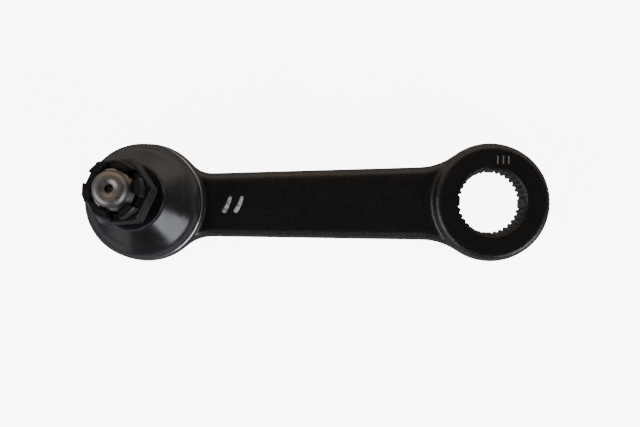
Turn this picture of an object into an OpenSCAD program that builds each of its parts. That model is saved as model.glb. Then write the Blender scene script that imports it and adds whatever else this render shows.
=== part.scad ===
// Pitman arm: a forged steering arm with a splined eye at one end and a ball joint at the other.
// The origin is on the axis of the splined bore, on the plane that the arm lies on.
// X runs from the ball joint towards the splined eye, and Z points the way the ball stud stands.

/* [Forged arm] */
// Distance from the spline bore's axis to the ball joint's axis
centre_distance = 140; // [125:1:170]
// Radius of the splined eye at the parting line
eye_radius = 24.3; // [23:0.1:27]
// Height of the splined eye
eye_height = 27; // [26:0.5:30]
// Radius of the ball joint housing at the parting line
housing_radius = 24.1; // [23.6:0.1:26]
// Width of the shank, measured at the ball joint's axis
shank_width_ball = 24.9; // [21:0.1:27]
// Width of the shank, measured at the spline bore's axis
shank_width_eye = 31.2; // [27:0.1:34]
// Sideways shift of the shank at the ball joint's axis
shank_shift_ball = -1.2; // [-2:0.1:2]
// Sideways shift of the shank at the spline bore's axis
shank_shift_eye = -0.3; // [-2:0.1:2]
// Thickness of the shank
shank_thickness = 18.5; // [16:0.5:19]
// Draft of the forged side walls, in degrees
draft = 4; // [2:0.5:6]
// Rounding of the shank's long edges
shank_edge = 3; // [2:0.1:4]
// Rounding of the edges of the eye and the housing
boss_edge = 1.7; // [1:0.1:1.9]
// Fillet in plan between the shank and the eye
eye_fillet = 25; // [15:0.5:30]
// Fillet in plan between the shank and the housing, on the +Y side
housing_fillet_far = 10; // [8:0.5:16]
// Fillet in plan between the shank and the housing, on the -Y side
housing_fillet_near = 15; // [8:0.5:18]
// Fillet where a boss rises from the shank
step_fillet = 2; // [1:0.1:2.1]
// Height of the housing's shoulder above the shank
shoulder_step = 2.75; // [2.7:0.05:3.5]
// Fillet where that shoulder rises from the shank
shoulder_fillet = 0.9; // [0.6:0.1:1]

/* [Splined bore] */
// Serrations around the bore, counting the four wide teeth
spline_count = 36; // [32:4:40]
// Radius over the tooth tips at the small end, on the ground plane
spline_tip_radius = 12.3; // [11.5:0.1:13]
// Length of bore over which its diameter grows by one unit
spline_taper = 16; // [14:1:20]
// Depth of a serration
spline_depth = 0.9; // [0.6:0.05:1]
// Width of a serration at the tooth tips
spline_gap = 1.45; // [1.1:0.05:1.5]
// Width of the flat at the root of a serration
spline_root = 0.25; // [0.1:0.05:0.4]
// Turn of the first wide tooth from the X axis, in degrees
spline_turn = -2; // [-5:0.5:5]

/* [Ball stud] */
// Radius of the ball
ball_radius = 13; // [12.5:0.1:13.5]
// Radius of the neck between ball and taper
neck_radius = 7.5; // [7:0.1:7.8]
// Radius of the taper at its large end
taper_radius = 9.4; // [9.2:0.05:9.8]
// Length of taper over which its diameter shrinks by one unit
taper_ratio = 8; // [8:1:10]
// Length of the taper
taper_length = 18; // [16:0.5:18]
// Distance from the ball's centre to the large end of the taper
taper_start = 22; // [21:0.5:23]
// Outside radius of the thread
thread_radius = 8; // [7.8:0.05:8]
// Length of stud that stands out of the nut
tip_length = 4.5; // [2:0.5:8]
// Radius of the split pin hole
pin_hole_radius = 1.9; // [1.5:0.1:2]
// Lean of the stud at rest, in degrees
lean = 9; // [0:0.5:12]
// Direction that the stud leans in, from the X axis, in degrees
lean_direction = 152; // [0:1:359]
// Furthest that the stud can tip, in degrees
tilt_limit = 24; // [20:1:25]

/* [Castle nut] */
// Width across the flats
nut_flats = 24; // [23.5:0.5:25]
// Height of the hexagon
hex_height = 13.5; // [12:0.5:14]
// Radius of the castle
castle_radius = 11.5; // [10.6:0.1:11.5]
// Height of the castle above the hexagon
castle_height = 7; // [6:0.5:7]
// Width of a slot
slot_width = 4.5; // [4.2:0.1:5]
// Distance from the end of the taper to the underside of the nut
nut_gap = 1; // [0.5:0.1:2]
// Turn of the nut's first corner from the X axis, in degrees
nut_turn = 4.5; // [0:0.5:59]

/* [Boot] */
// How far the boot's base stays inside the housing's edge
boot_inset = 0.9; // [0.7:0.1:1.1]
// Outside radius of the boot's neck
boot_neck_radius = 13.4; // [12.8:0.1:14]
// Distance from the ball's centre to the top of the neck
boot_reach = 31.5; // [29:0.5:33]
// Height of the neck
boot_neck_height = 4.5; // [3.5:0.1:5]
// Thickness of the rubber
boot_wall = 2.2; // [1.8:0.1:2.6]
// Radius of the wire in the retaining ring
ring_wire = 0.95; // [0.8:0.05:1]

/* [Bearings] */
// Thickness of the bearings at the ball's waist
bearing_wall = 4; // [3.6:0.1:4.2]
// Radius of the hole in the lower bearing
seat_hole = 8; // [7:0.1:8.5]
// Height of the preload spring
spring_height = 2; // [1.8:0.1:2.4]
// Thickness of the preload spring's disc
spring_thickness = 1; // [0.8:0.1:1.2]
// Thickness of the cover plate
cover_thickness = 2.4; // [2:0.1:3]
// Depth of the hollow pressed into the cover plate
cover_hollow = 0.6; // [0.3:0.1:1]
// Thickness of the lip that is rolled over the cover plate
lip_thickness = 1.4; // [1.2:0.1:1.8]

/* [Hidden] */
$fn = 120;
// Gap of a running or push fit
fit_gap = 0.05;
// Gap around loose and rubber pieces
loose_gap = 0.3;
// How far a step fillet sinks into what it joins
dip = 0.08;
// How far a cutter runs past what it cuts
over = 1;

// Forged arm
parting = eye_height / 2;
shank_low = parting - shank_thickness / 2;
shank_high = parting + shank_thickness / 2;
shoulder = shank_high + shoulder_step;
eye_place = [0, 0];
housing_place = [-centre_distance, 0];
// Steps along a fillet in plan, around a boss and around a rounded edge
fillet_steps = 8;
boss_steps = 40;
corner_steps = 5;
// Share of a fillet, from the boss, along which the edge stays sharp
sharp_share = 0.35;
// How far a boss stays inside the wall of the forging
ledge = 0.15;
// How far a step fillet stays inside the rounded edges of the shank
flat_inset = 0.4;
// Radius around which a boss is left open
bored_radius = 5;

// Splined bore
spline_lean = atan(1 / (2 * spline_taper));
spline_pitch = 360 / spline_count;
wide_teeth = 4;
spline_chamfer = spline_depth + 0.3;
// How far the cutter of a serration reaches inside the tooth tips
spline_overlap = 0.3;

// Bearings
ball_gap_radius = ball_radius + fit_gap;
cover_top = lip_thickness + cover_thickness + fit_gap;
seat_low = cover_top + spring_height + fit_gap;
seat_floor = 0.4;
ball_height = seat_low + seat_floor + sqrt(pow(ball_gap_radius, 2) - pow(seat_hole, 2));
ball_flat = 0.7 * ball_radius;
bearing_split = 0.6;
bearing_radius = ball_radius + bearing_wall;
bearing_top = ball_height + 0.61 * ball_radius;
cover_radius = bearing_radius + 1.9;
cover_hollow_radius = cover_radius / 2;
lip_radius = bearing_radius + 0.4;
mouth_gap = 0.35;

// Spigot that the boot's bead grips
spigot_inset = 5.1;
groove_radius = housing_radius - spigot_inset;
groove_height = 2.2;
rim_radius = groove_radius + 0.9;
housing_top = shoulder + groove_height + 1.3;

// Ball stud and castle nut
taper_end = taper_start + taper_length;
taper_tip_radius = taper_radius - taper_length / (2 * taper_ratio);
flare = 2.5;
undercut_radius = thread_radius - 0.95;
nut_seat = taper_end + nut_gap;
hex_top = nut_seat + hex_height;
nut_top = hex_top + castle_height;
stud_reach = nut_top + tip_length;
tip_chamfer = 1.1;
centre_radius = 3.8;
centre_depth = 1.3;
drill_radius = 1.9;
drill_depth = 4.5;
nut_bore = thread_radius + fit_gap;
nut_chamfer = castle_radius + 0.2;
slot_floor = hex_top + 0.5;
pin_hole_reach = slot_floor + pin_hole_radius + 0.6;
pin_turn = nut_turn + 30;

// Boot and ring
boot_base_radius = housing_radius - boot_inset;
boot_base = shoulder - ball_height + fit_gap;
bead_top = boot_base + groove_height - loose_gap;
rim_bore = rim_radius + loose_gap;
rim_clear = housing_top - ball_height + loose_gap;
neck_bore = taper_radius + loose_gap;
boot_neck = boot_reach - boot_neck_height;
ring_radius = boot_base_radius + 0.2 - ring_wire;
ring_seat = ring_radius - ring_wire - loose_gap;
ring_low = boot_base + 0.8;
ring_high = ring_low + 2 * (ring_wire + loose_gap);
boot_flank = ring_high + 0.3;
boot_sides = 48;
flank_rings = 10;
dome_power = 0.8;

steel_paint = [0.05, 0.05, 0.05];
phosphate = [0.11, 0.11, 0.12];
bright_steel = [0.6, 0.58, 0.55];
rubber = [0.04, 0.04, 0.05];
resin = [0.82, 0.8, 0.72];
spring_steel = [0.35, 0.35, 0.37];

function blend(a, b, t) = a + (b - a) * t;

function reversed(list) = [for (i = [len(list) - 1 : -1 : 0]) list[i]];

// Radius of the cone that the neck of the stud sweeps, at a height above the ball's centre
function mouth_radius(height) = neck_radius / cos(tilt_limit) + height * tan(tilt_limit) + mouth_gap;

// Each long edge of the shank is worked out as if it were on the +Y side
function edge_start(side) = [-centre_distance, side * shank_shift_ball + shank_width_ball / 2];
function edge_end(side) = [0, side * shank_shift_eye + shank_width_eye / 2];
function edge_way(side) =
    let (run = edge_end(side) - edge_start(side))
    run / norm(run);
function edge_out(side) = [-edge_way(side).y, edge_way(side).x];

// Centre of the fillet that touches a long edge and a boss; towards is 1 past the boss, -1 before it
function fillet_centre(side, boss, boss_radius, fillet, towards) =
    let (
        from = edge_start(side) - boss + fillet * edge_out(side),
        run = from * edge_way(side),
        reach = pow(boss_radius + fillet, 2) - from * from
    )
    boss + from + edge_way(side) * (towards * sqrt(run * run + reach) - run);

function eye_fillet_centre(side) = fillet_centre(side, eye_place, eye_radius, eye_fillet, -1);
function housing_fillet(side) = side > 0 ? housing_fillet_far : housing_fillet_near;
function housing_fillet_centre(side) =
    fillet_centre(side, housing_place, housing_radius, housing_fillet(side), 1);

function angle_of(way) = atan2(way.y, way.x);
function eased(t) = t * t * (3 - 2 * t);

// A fillet in plan, from the boss to the long edge. Each entry is [point, way out, share of rounding]
function fillet_points(side, boss, centre, fillet) =
    let (
        boss_angle = angle_of(boss - centre),
        edge_angle = angle_of(-edge_out(side))
    )
    [
        for (step = [1 : fillet_steps])
            let (
                share = step / fillet_steps,
                angle = blend(boss_angle, edge_angle, share),
                way = [cos(angle), sin(angle)]
            )
            [centre + fillet * way, -way, eased(max(0, (share - sharp_share) / (1 - sharp_share)))]
    ];

// One side of the shank in plan, from the eye to the housing
function side_points(side) = concat(
    fillet_points(side, eye_place, eye_fillet_centre(side), eye_fillet),
    reversed(fillet_points(side, housing_place, housing_fillet_centre(side), housing_fillet(side)))
);

function across(point) = [point.x, -point.y];

// Both sides of the shank in plan: out along the +Y side, and back along the -Y side
function out_points() = side_points(1);
function back_points() = [
    for (at = reversed(side_points(-1)))
        [across(at[0]), across(at[1]), at[2]]
];

// The outside of a boss in plan, counter-clockwise between the two fillets
function boss_points(boss, radius, from, to) = [
    for (step = [0 : boss_steps])
        let (
            angle = blend(from, to, step / boss_steps),
            way = [cos(angle), sin(angle)]
        )
        [boss + radius * way, way, 0]
];

// The whole arm in plan, counter-clockwise from the eye
function arm_points() = concat(
    boss_points(
        eye_place, eye_radius,
        -angle_of(eye_fillet_centre(-1)),
        angle_of(eye_fillet_centre(1))
    ),
    out_points(),
    boss_points(
        housing_place, housing_radius,
        angle_of(housing_fillet_centre(1) - housing_place),
        360 - angle_of(housing_fillet_centre(-1) - housing_place)
    ),
    back_points()
);

// The flat of the shank in plan, a little inside its rounded edges
function flat_points() = [
    for (at = concat(out_points(), back_points()))
        at[0] - (shank_thickness / 2 * tan(draft) + shank_edge * at[2] + flat_inset) * at[1]
];

// The flat of the shank in convex faces: each boss, and strips from side to side between them
function flat_faces(around) =
    let (strips = 2 * fillet_steps + 1)
    concat(
        [[for (i = [0 : boss_steps]) i]],
        [
            for (strip = [0 : strips - 1])
                let (
                    far = boss_steps + strip,
                    near = (around - strip) % around
                )
                [far, far + 1, around - strip - 1, near]
        ],
        [[for (i = [0 : boss_steps]) boss_steps + strips + i]]
    );

// Levels of the shank from its low face to its high face, as [height, inset of the rounded edge]
function shank_levels() =
    let (
        half = shank_thickness / 2,
        corner = [
            for (step = [0 : corner_steps])
                let (angle = 90 * step / corner_steps)
                [half - shank_edge * (1 - sin(angle)), shank_edge * (1 - cos(angle))]
        ]
    )
    concat(
        [for (at = reversed(corner)) [parting - at[0], at[1]]],
        [[parting, 0]],
        [for (at = corner) [parting + at[0], at[1]]]
    );

// Rounded corner between a drafted wall and the face at a height above the parting line, as [inset, height]
function corner_points(height, corner) = [
    for (step = [0 : corner_steps])
        let (angle = blend(180 - draft, 90, step / corner_steps))
        [
            (corner + (height - corner) * sin(draft)) / cos(draft) + corner * cos(angle),
            height - corner + corner * sin(angle)
        ]
];

// Set children on the upper or the lower half of the forging
module on_half(half) {
    translate([0, 0, parting])
        mirror([0, 0, half > 0 ? 0 : 1])
            translate([0, 0, -parting])
                children();
}

// Set children on the axis of the housing
module at_housing() {
    translate(housing_place)
        children();
}

// Set children, whose origin is the ball's centre, at the lean of the stud
module at_stud() {
    at_housing()
        translate([0, 0, ball_height])
            rotate([0, 0, lean_direction])
                rotate([0, lean, 0])
                    rotate([0, 0, -lean_direction])
                        children();
}

// Section of a forged edge: it starts at x = 0 on the parting line, with draft and rounded corners
module forged_section(depth, low, high, corner) {
    upper = corner_points(high - parting, corner);
    lower = corner_points(parting - low, corner);
    polygon(concat(
        [[0, parting]],
        [for (at = upper) [at.x, parting + at.y]],
        [[depth, high], [depth, low]],
        [for (at = reversed(lower)) [at.x, parting - at.y]]
    ));
}

// A round boss of the forging, open where it is bored out later
module forged_boss(radius, low, high) {
    rotate_extrude()
        translate([radius - ledge, 0])
            mirror([1, 0])
                forged_section(radius - ledge - bored_radius, low, high, boss_edge);
}

// The arm in plan between the faces of the shank, with draft all around and rounded long edges
module shank() {
    outline = arm_points();
    levels = shank_levels();
    around = len(outline);
    top = (len(levels) - 1) * around;
    polyhedron(
        points = [
            for (level = levels)
                for (at = outline)
                    let (
                        inset = abs(level[0] - parting) * tan(draft) + level[1] * at[2],
                        point = at[0] - inset * at[1]
                    )
                    [point.x, point.y, level[0]]
        ],
        faces = concat(
            flat_faces(around),
            [for (face = flat_faces(around)) [for (i = reversed(face)) top + i]],
            [
                for (low = [0 : around : top - 1])
                    for (i = [0 : around - 1])
                        let (next = (i + 1) % around)
                        [low + i, low + around + i, low + around + next, low + next]
            ]
        )
    );
}

// Concave ring where a boss rises from the shank, as far as the flat of the shank reaches
module step_ring(boss, boss_radius, fillet) {
    wall = boss_radius - ledge - (shank_high - parting) * tan(draft);
    reach = [fillet * (1 - tan(draft)) - dip, fillet - dip];
    intersection() {
        translate(boss)
            rotate_extrude()
                translate([wall, shank_high])
                    difference() {
                        translate([-over, -over])
                            square(reach + [over, over]);
                        translate(reach)
                            circle(fillet);
                    }
        linear_extrude(eye_height)
            polygon(flat_points());
    }
}

module forging() {
    forged_boss(eye_radius, 0, eye_height);
    at_housing() {
        forged_boss(housing_radius, 0, shoulder);
        cylinder(r = groove_radius, h = housing_top);
        translate([0, 0, shoulder + groove_height])
            cylinder(r = rim_radius, h = housing_top - shoulder - groove_height);
    }
    shank();
    step_ring(eye_place, eye_radius, step_fillet);
    step_ring(housing_place, housing_radius, shoulder_fillet);
    on_half(-1) {
        step_ring(eye_place, eye_radius, step_fillet);
        step_ring(housing_place, housing_radius, step_fillet);
    }
}

// Cutter for the tapered bore: a cone with a prism for each serration, none at the wide teeth
module splined_bore() {
    top = eye_height + over;
    grow = tan(spline_lean);
    flank = (spline_gap - spline_root) / (2 * spline_depth);
    inner_gap = spline_gap / 2 + spline_overlap * flank;
    translate([0, 0, -over])
        cylinder(
            r1 = spline_tip_radius - over * grow,
            r2 = spline_tip_radius + top * grow,
            h = top + over
        );
    for (tooth = [0 : spline_count - 1])
        if (tooth % (spline_count / wide_teeth) != 0)
            rotate([0, 0, spline_turn + tooth * spline_pitch])
                translate([spline_tip_radius, 0, 0])
                    rotate([0, spline_lean, 0])
                        translate([0, 0, -over])
                            linear_extrude(top + 2 * over)
                                polygon([
                                    [-spline_overlap, -inner_gap],
                                    [spline_depth, -spline_root / 2],
                                    [spline_depth, spline_root / 2],
                                    [-spline_overlap, inner_gap]
                                ]);
    translate([0, 0, eye_height - spline_chamfer])
        cylinder(
            r1 = spline_tip_radius + eye_height * grow,
            r2 = spline_tip_radius + eye_height * grow + spline_chamfer + over,
            h = spline_chamfer + over
        );
    translate([0, 0, -over])
        cylinder(
            r1 = spline_tip_radius + spline_chamfer + over,
            r2 = spline_tip_radius,
            h = spline_chamfer + over
        );
}

// Cutter for the inside of the housing, from the rolled lip up to the mouth
module socket() {
    mouth_low = bearing_top - over;
    translate([0, 0, -over])
        cylinder(r = lip_radius, h = lip_thickness + 2 * over);
    translate([0, 0, lip_thickness])
        cylinder(r = cover_radius + fit_gap, h = cover_thickness + fit_gap);
    translate([0, 0, lip_thickness + cover_thickness])
        cylinder(r = bearing_radius + fit_gap, h = bearing_top + fit_gap - lip_thickness - cover_thickness);
    translate([0, 0, mouth_low])
        cylinder(
            r1 = mouth_radius(mouth_low - ball_height),
            r2 = mouth_radius(housing_top + over - ball_height),
            h = housing_top + over - mouth_low
        );
}

module arm() {
    color(steel_paint)
        difference() {
            forging();
            splined_bore();
            at_housing()
                socket();
        }
}

module ball_stud() {
    color(bright_steel)
        at_stud()
            difference() {
                union() {
                    intersection() {
                        sphere(ball_radius);
                        translate([0, 0, -ball_flat])
                            cylinder(r = ball_radius + over, h = 2 * ball_radius + over);
                    }
                    rotate_extrude()
                        polygon([
                            [0, 0],
                            [neck_radius, 0],
                            [neck_radius, taper_start - flare],
                            [taper_radius, taper_start],
                            [taper_tip_radius, taper_end],
                            [undercut_radius, taper_end + 0.4],
                            [undercut_radius, taper_end + 1.6],
                            [thread_radius, taper_end + 2.4],
                            [thread_radius, stud_reach - tip_chamfer],
                            [thread_radius - tip_chamfer, stud_reach],
                            [0, stud_reach]
                        ]);
                }
                rotate_extrude()
                    polygon([
                        [0, stud_reach + over],
                        [centre_radius, stud_reach + over],
                        [centre_radius, stud_reach],
                        [drill_radius, stud_reach - centre_depth],
                        [drill_radius, stud_reach - drill_depth],
                        [0, stud_reach - drill_depth - drill_radius / 2]
                    ]);
                translate([0, 0, pin_hole_reach])
                    rotate([0, 0, pin_turn])
                        rotate([0, 90, 0])
                            cylinder(r = pin_hole_radius, h = 4 * thread_radius, center = true);
            }
}

module castle_nut() {
    corner = nut_flats / sqrt(3);
    bevel = (corner + over - nut_chamfer) * tan(30);
    color(phosphate)
        at_stud()
            translate([0, 0, nut_seat])
                rotate([0, 0, nut_turn])
                    difference() {
                        union() {
                            intersection() {
                                cylinder(r = corner, h = hex_height, $fn = 6);
                                rotate_extrude()
                                    polygon([
                                        [0, 0],
                                        [nut_chamfer, 0],
                                        [corner + over, bevel],
                                        [corner + over, hex_height - bevel],
                                        [nut_chamfer, hex_height],
                                        [0, hex_height]
                                    ]);
                            }
                            rotate_extrude()
                                polygon([
                                    [0, over],
                                    [castle_radius, over],
                                    [castle_radius, hex_height + castle_height - tip_chamfer / 2],
                                    [castle_radius - tip_chamfer / 2, hex_height + castle_height],
                                    [0, hex_height + castle_height]
                                ]);
                        }
                        translate([0, 0, -over])
                            cylinder(r = nut_bore, h = hex_height + castle_height + 2 * over);
                        translate([0, 0, -over])
                            cylinder(
                                r1 = nut_bore + over + tip_chamfer,
                                r2 = nut_bore,
                                h = over + tip_chamfer
                            );
                        for (slot = [0 : 2])
                            rotate([0, 0, 30 + 60 * slot])
                                translate([-nut_flats, -slot_width / 2, slot_floor - nut_seat])
                                    cube([2 * nut_flats, slot_width, castle_height + over]);
                    }
}

// A point of the boot: the lean grows from the base, where share is 0, to the neck, where it is 1
function boot_point(radius, reach, turn) =
    let (
        height = min(1, max(0, (reach - boot_flank) / (boot_neck - boot_flank))),
        share = height * height * (3 - 2 * height),
        x = radius * cos(turn) * cos(lean * share) + reach * sin(lean * share),
        y = radius * sin(turn),
        z = reach * cos(lean * share) - radius * cos(turn) * sin(lean * share)
    )
    [
        x * cos(lean_direction) - y * sin(lean_direction) - centre_distance,
        x * sin(lean_direction) + y * cos(lean_direction),
        z + ball_height
    ];

// Points of a dome from its wide end at t = 0 to its narrow end at t = 1, as [radius, reach]
function dome(wide, narrow, t) = [
    narrow[0] + (wide[0] - narrow[0]) * pow(cos(90 * t), dome_power),
    blend(wide[1], narrow[1], t)
];

// The boot's wall, once around its section as [radius, reach]
boot_section = [
    [groove_radius + loose_gap, boot_base],
    [boot_base_radius, boot_base],
    [boot_base_radius, ring_low - 0.2],
    [ring_seat, ring_low],
    [ring_seat, ring_high],
    for (ring = [0 : flank_rings])
        dome([boot_base_radius, boot_flank], [boot_neck_radius, boot_neck], ring / flank_rings),
    [boot_neck_radius, boot_reach - 0.8],
    [boot_neck_radius - 0.8, boot_reach],
    [neck_bore, boot_reach],
    for (ring = [flank_rings : -1 : 0])
        dome([rim_bore, rim_clear], [neck_bore, boot_neck - boot_wall], ring / flank_rings),
    [rim_bore, bead_top],
    [groove_radius + loose_gap, bead_top]
];

module dust_boot() {
    rings = len(boot_section);
    color(rubber)
        polyhedron(
            points = [
                for (at = boot_section)
                    for (side = [0 : boot_sides - 1])
                        boot_point(at[0], at[1], side * 360 / boot_sides)
            ],
            faces = [
                for (ring = [0 : rings - 1])
                    for (side = [0 : boot_sides - 1])
                        let (
                            next_ring = (ring + 1) % rings * boot_sides,
                            this_ring = ring * boot_sides,
                            next_side = (side + 1) % boot_sides
                        )
                        for (half = [0, 1])
                            half == 0
                                ? [this_ring + side, next_ring + next_side, this_ring + next_side]
                                : [this_ring + side, next_ring + side, next_ring + next_side]
            ]
        );
}

module boot_ring() {
    color(spring_steel)
        at_housing()
            translate([0, 0, ball_height + (ring_low + ring_high) / 2])
                rotate_extrude()
                    translate([ring_radius, 0])
                        circle(ring_wire);
}

module upper_bearing() {
    low = ball_height + bearing_split / 2;
    color(resin)
        at_housing()
            difference() {
                translate([0, 0, low])
                    cylinder(r = bearing_radius, h = bearing_top - low);
                translate([0, 0, ball_height])
                    sphere(ball_gap_radius);
                translate([0, 0, ball_height])
                    cylinder(
                        r1 = mouth_radius(0),
                        r2 = mouth_radius(ball_radius),
                        h = ball_radius
                    );
            }
}

module lower_bearing() {
    color(resin)
        at_housing()
            difference() {
                translate([0, 0, seat_low])
                    cylinder(r = bearing_radius, h = ball_height - bearing_split / 2 - seat_low);
                translate([0, 0, ball_height])
                    sphere(ball_gap_radius);
                translate([0, 0, seat_low - over])
                    cylinder(r = seat_hole, h = ball_radius);
            }
}

module preload_spring() {
    inner = seat_hole + 0.6;
    outer = bearing_radius - 1.5;
    color(spring_steel)
        at_housing()
            translate([0, 0, cover_top])
                rotate_extrude()
                    polygon([
                        [outer, 0],
                        [outer, spring_thickness],
                        [inner, spring_height],
                        [inner, spring_height - spring_thickness]
                    ]);
}

module cover_plate() {
    color(phosphate)
        at_housing()
            translate([0, 0, lip_thickness + fit_gap / 2])
                rotate_extrude()
                    polygon([
                        [0, cover_hollow],
                        [cover_hollow_radius, cover_hollow],
                        [cover_hollow_radius + 2 * cover_hollow, 0],
                        [cover_radius, 0],
                        [cover_radius, cover_thickness],
                        [0, cover_thickness]
                    ]);
}

arm();
ball_stud();
castle_nut();
dust_boot();
boot_ring();
upper_bearing();
lower_bearing();
preload_spring();
cover_plate();
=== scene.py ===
"""Looks of a pitman arm: a forged steering arm with a splined eye and a booted ball joint.

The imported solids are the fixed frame. Every size below is in millimetres unless its name says otherwise.
"""

from __future__ import annotations

import logging
import math
from dataclasses import dataclass
from enum import Enum
from typing import Any

import bmesh
import bpy
from mathutils import Matrix, Vector


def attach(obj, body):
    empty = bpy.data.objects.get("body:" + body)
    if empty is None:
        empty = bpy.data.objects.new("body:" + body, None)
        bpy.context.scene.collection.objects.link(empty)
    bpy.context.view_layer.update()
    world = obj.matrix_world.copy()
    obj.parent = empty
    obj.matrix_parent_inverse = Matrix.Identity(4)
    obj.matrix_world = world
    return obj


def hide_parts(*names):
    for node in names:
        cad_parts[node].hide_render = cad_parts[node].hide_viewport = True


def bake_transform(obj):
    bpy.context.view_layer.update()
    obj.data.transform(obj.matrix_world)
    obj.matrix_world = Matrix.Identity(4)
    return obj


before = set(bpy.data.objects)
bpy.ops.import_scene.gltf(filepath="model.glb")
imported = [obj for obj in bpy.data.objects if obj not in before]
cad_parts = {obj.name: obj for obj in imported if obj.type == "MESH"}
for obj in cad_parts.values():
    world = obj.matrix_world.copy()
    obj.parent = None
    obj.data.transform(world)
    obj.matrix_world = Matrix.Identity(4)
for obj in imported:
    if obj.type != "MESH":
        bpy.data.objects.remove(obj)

MM = 0.001
LOG = logging.getLogger("pitman_arm")

# Points closer than this become one
MERGE = 0.001
# Edges sharper than this many degrees stay crisp on turned pieces
TURNED_ANGLE = 32.0
# The same on the forging, the boot and the nut
FORGED_ANGLE = 40.0
# Width of one wave of Blender's wave texture at a scale of one
WAVE_WIDTH = math.tau / 20
# Every spin turns around this axis
AROUND_Z = {"cent": (0, 0, 0), "axis": (0, 0, 1)}

Piece = bpy.types.Object
Material = bpy.types.Material
Tree = bpy.types.NodeTree
Socket = bpy.types.NodeSocket
Inputs = dict[str | int, Any]
Shape = bmesh.types.BMesh
Pair = tuple[float, float]
Place = tuple[float, float, float]
Tones = tuple[str, str]
# Radius and height of each point of a turned section
Outline = list[Pair]


class Body(Enum):
    """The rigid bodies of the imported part."""

    ARM = "arm"
    SEAT = "seat"
    BOOT = "boot"
    STUD = "stud"


class Part(Enum):
    """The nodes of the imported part."""

    ARM = "arm"
    BALL_STUD = "ball_stud"
    CASTLE_NUT = "castle_nut"
    DUST_BOOT = "dust_boot"
    BOOT_RING = "boot_ring"
    UPPER_BEARING = "upper_bearing"
    LOWER_BEARING = "lower_bearing"
    PRELOAD_SPRING = "preload_spring"
    COVER_PLATE = "cover_plate"


class Slot(Enum):
    """The material slots, by name."""

    FORGING = "painted_forging"
    STEEL = "machined_steel"
    PHOSPHATE = "phosphated_steel"
    RUBBER = "boot_rubber"


class Cut(Enum):
    """How one solid changes another."""

    REMOVE = "DIFFERENCE"
    JOIN = "UNION"


def linear_colour(code: str) -> tuple[float, float, float, float]:
    """Turn an sRGB hex colour into linear light.

    Args:
        code: the colour as "#rrggbb".

    Returns:
        Red, green, blue and an alpha of one.
    """
    values = [int(code[i : i + 2], 16) / 255 for i in (1, 3, 5)]
    # The numbers are the sRGB curve's own
    linear = [v / 12.92 if v <= 0.04045 else ((v + 0.055) / 1.055) ** 2.4 for v in values]
    return linear[0], linear[1], linear[2], 1.0


def pattern_scale(size: float) -> float:
    """Give the texture scale that draws features of a size on Object coordinates."""
    return 1 / (size * MM)


def add_node(tree: Tree, kind: str, inputs: Inputs | None = None, **settings: Any) -> bpy.types.Node:
    """Add one shader node with its settings and links.

    Args:
        tree: the node tree that gets it.
        kind: the node's type name.
        inputs: socket name or index to a value, or to the output socket that feeds it.
        settings: the node's own properties.

    Returns:
        The new node.
    """
    node = tree.nodes.new(kind)
    for name, value in settings.items():
        setattr(node, name, value)
    for name, value in (inputs or {}).items():
        if isinstance(value, Socket):
            tree.links.new(value, node.inputs[name])
        else:
            node.inputs[name].default_value = value
    return node


@dataclass(frozen=True)
class Ramp:
    """A straight ramp from one value to another while what it follows runs from start to end."""

    start: float
    end: float
    low: float = 0.0
    high: float = 1.0

    def follow(self, value: Socket) -> Inputs:
        """Give the inputs that let a range node follow a value."""
        ends = {"From Min": self.start, "From Max": self.end, "To Min": self.low, "To Max": self.high}
        return {"Value": value, **ends}


def new_material(name: str) -> tuple[Material, Tree, Socket]:
    """Start a node material on Object coordinates.

    Args:
        name: the material's name.

    Returns:
        The material, its emptied tree and the coordinate socket.
    """
    material = bpy.data.materials.new(name)
    material.use_nodes = True
    tree = material.node_tree
    tree.nodes.clear()
    return material, tree, add_node(tree, "ShaderNodeTexCoord").outputs["Object"]


def finish_material(tree: Tree, inputs: Inputs) -> None:
    """Close a material with its Principled shader.

    Args:
        tree: the material's tree.
        inputs: the shader's sockets, as for add_node.
    """
    shader = add_node(tree, "ShaderNodeBsdfPrincipled", inputs)
    add_node(tree, "ShaderNodeOutputMaterial", {"Surface": shader.outputs["BSDF"]})


@dataclass(frozen=True)
class Clouds:
    """A cloudy pattern, which keeps every finish here from being one flat tone."""

    size: float
    detail: float
    contrast: float = 0.5

    def inputs(self, place: Socket) -> Inputs:
        """Give the inputs that draw the pattern with a noise node."""
        look = {"Scale": pattern_scale(self.size), "Detail": self.detail, "Roughness": self.contrast}
        return {"Vector": place, **look}

    def mottle(
        self, tree: Tree, place: Socket, tones: Tones, cover: Ramp | None = None
    ) -> tuple[Socket, Socket]:
        """Draw the pattern and let the colour drift between two tones with it.

        Args:
            tree: the material's tree.
            place: the coordinates to draw on.
            tones: the tone where the pattern is low and the tone where it is high.
            cover: how fast the second tone takes over, if not evenly.

        Returns:
            The pattern and the colour.
        """
        pattern = add_node(tree, "ShaderNodeTexNoise", self.inputs(place)).outputs["Fac"]
        share = pattern
        if cover is not None:
            share = add_node(tree, "ShaderNodeMapRange", cover.follow(pattern)).outputs["Result"]
        low, high = (linear_colour(tone) for tone in tones)
        tint = add_node(tree, "ShaderNodeMix", {"Factor": share, "A": low, "B": high}, data_type="RGBA")
        return pattern, tint.outputs["Result"]


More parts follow.
